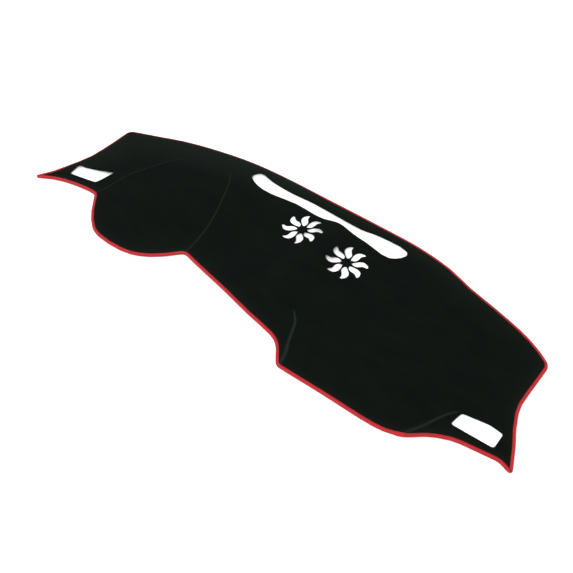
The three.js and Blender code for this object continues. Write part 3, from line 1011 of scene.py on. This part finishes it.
class MAT_OT_fringe(bpy.types.Operator):
    """Let short fibres of the pile stand out along the openings and over the tape's lap"""

    bl_idname = "mat.fringe"
    bl_label = "Pile Fringe"

    SPACING = 1.3 * MM
    REACH = 1.5 * MM

    def execute(self, context):
        settings = context.scene.mat
        draw = random.Random(settings.seed)
        underside = panel_underside()
        loops = boundary_loops(underside)
        lie = Lie(underside, loops[0], settings.cloth.rim)
        underside.free()
        edge = Edge(loops[0], settings.tape, step=self.SPACING)
        roots, ways = [], []
        for i in range(len(edge.loop)):
            out = -edge.lap[i] - 0.5 * MM
            heights = edge.height - np.array([1.1, 0.7]) * MM
            spots = edge.place(i, np.array([out, out + self.REACH]), heights)
            roots.append(spots[0])
            ways.append(spots[1] - spots[0])
        for loop in loops[1:]:
            even = even_loop(loop, self.SPACING)
            sides = outward(even)
            heights = lie(even) + 0.8 * settings.cloth.thickness
            roots.extend(np.column_stack([even + sides * 0.4 * MM, heights]))
            ways.extend(np.column_stack([-sides * 0.7 * self.REACH, np.full(len(even), 0.2 * MM)]))
        makers = [self.fibre(Vector(root), Vector(way), draw) for root, way in zip(roots, ways)]
        fringe = new_object("pile_fringe", gathered(makers))
        fringe.data.materials.append(pile_material(settings.cloth))
        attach(fringe, "root")
        return {"FINISHED"}

    @staticmethod
    def fibre(root, way, draw):
        """A tapered tuft from its root, leaning a little at random."""
        lean = Matrix.Rotation(math.radians(draw.uniform(-40, 40)), 3, "Z")
        way = (lean @ way) * draw.uniform(0.5, 1.1)
        matrix = (
            Matrix.Translation(root + way / 2)
            @ way.to_track_quat("Z", "Y").to_matrix().to_4x4()
            @ Matrix.Diagonal((1, 1, way.length, 1))
        )
        return partial(
            bmesh.ops.create_cone,
            segments=4, radius1=0.28 * MM, radius2=0.04 * MM, depth=1.0, matrix=matrix, cap_ends=True,
        )


class MAT_OT_stage(bpy.types.Operator):
    """Set the pale floor, the soft lights and the camera at the photograph's angle"""

    bl_idname = "mat.stage"
    bl_label = "Stage"

    def execute(self, context):
        settings = context.scene.mat.stage
        self.floor(settings)
        self.lights(context, settings)
        self.camera(context, settings)
        return {"FINISHED"}

    @staticmethod
    def floor(settings):
        bm = bmesh.new()
        bmesh.ops.create_grid(bm, x_segments=2, y_segments=2, size=30.0)
        floor = new_object("studio_floor", bm)
        floor.data.materials.append(floor_material(settings))

    @staticmethod
    def lights(context, settings):
        world = bpy.data.worlds.new("studio")
        world.use_nodes = True
        background = world.node_tree.nodes["Background"]
        background.inputs["Color"].default_value = (1.0, 1.0, 1.0, 1.0)
        background.inputs["Strength"].default_value = 1.0
        context.scene.world = world
        context.scene.view_settings.view_transform = "Standard"
        for name, place, side, power in (
            ("key", (0.5, -1.5, 2.6), 1.6, settings.light_power),
            ("fill", (-2.4, 0.6, 2.2), 2.0, settings.light_power / 2),
        ):
            light = bpy.data.lights.new(name, "AREA")
            light.shape = "SQUARE"
            light.size = side
            light.energy = power
            obj = bpy.data.objects.new(name, light)
            obj.location = place
            obj.rotation_euler = (-Vector(place)).to_track_quat("-Z", "Y").to_euler()
            context.scene.collection.objects.link(obj)

    @staticmethod
    def camera(context, settings):
        data = bpy.data.cameras.new("camera")
        data.sensor_width = 36.0
        data.lens = data.sensor_width * settings.focal_pixels / IMAGE_SIDE
        camera = bpy.data.objects.new("camera", data)
        aim = Vector((*plan_point(settings.aim_x / MM, settings.aim_y / MM), 0.0))
        turn, rise = settings.azimuth, settings.elevation
        back = Vector((math.sin(turn) * math.cos(rise), -math.cos(turn) * math.cos(rise), math.sin(rise)))
        camera.location = aim + back * settings.distance
        camera.rotation_euler = (-back).to_track_quat("-Z", "Y").to_euler()
        context.scene.collection.objects.link(camera)
        context.scene.camera = camera


class MAT_PT_panel(bpy.types.Panel):
    """Lists the mat's pieces and their sizes"""

    bl_label = "Dashboard Cover Mat"
    bl_idname = "MAT_PT_panel"
    bl_space_type = "VIEW_3D"
    bl_region_type = "UI"
    bl_category = "Cover Mat"

    def draw(self, context):
        layout = self.layout
        settings = context.scene.mat
        for group in (settings.cloth, settings.tape, settings.stage):
            box = layout.box()
            for name in group.bl_rna.properties.keys():
                if name not in ("rna_type", "name"):
                    box.prop(group, name)
        for operator in PIECES:
            layout.operator(operator.bl_idname)


PIECES = (MAT_OT_stage, MAT_OT_cloth, MAT_OT_tape, MAT_OT_tape_stitches, MAT_OT_fringe)
CLASSES = (ClothSettings, TapeSettings, StageSettings, MatSettings, *PIECES, MAT_PT_panel)


def register():
    for cls in CLASSES:
        bpy.utils.register_class(cls)
    bpy.types.Scene.mat = PointerProperty(type=MatSettings)


def unregister():
    del bpy.types.Scene.mat
    for cls in reversed(CLASSES):
        bpy.utils.unregister_class(cls)


def main():
    register()
    bpy.ops.mat.stage()
    bpy.ops.mat.cloth()
    bpy.ops.mat.tape()
    bpy.ops.mat.tape_stitches()
    bpy.ops.mat.fringe()


if __name__ == "__main__":
    main()
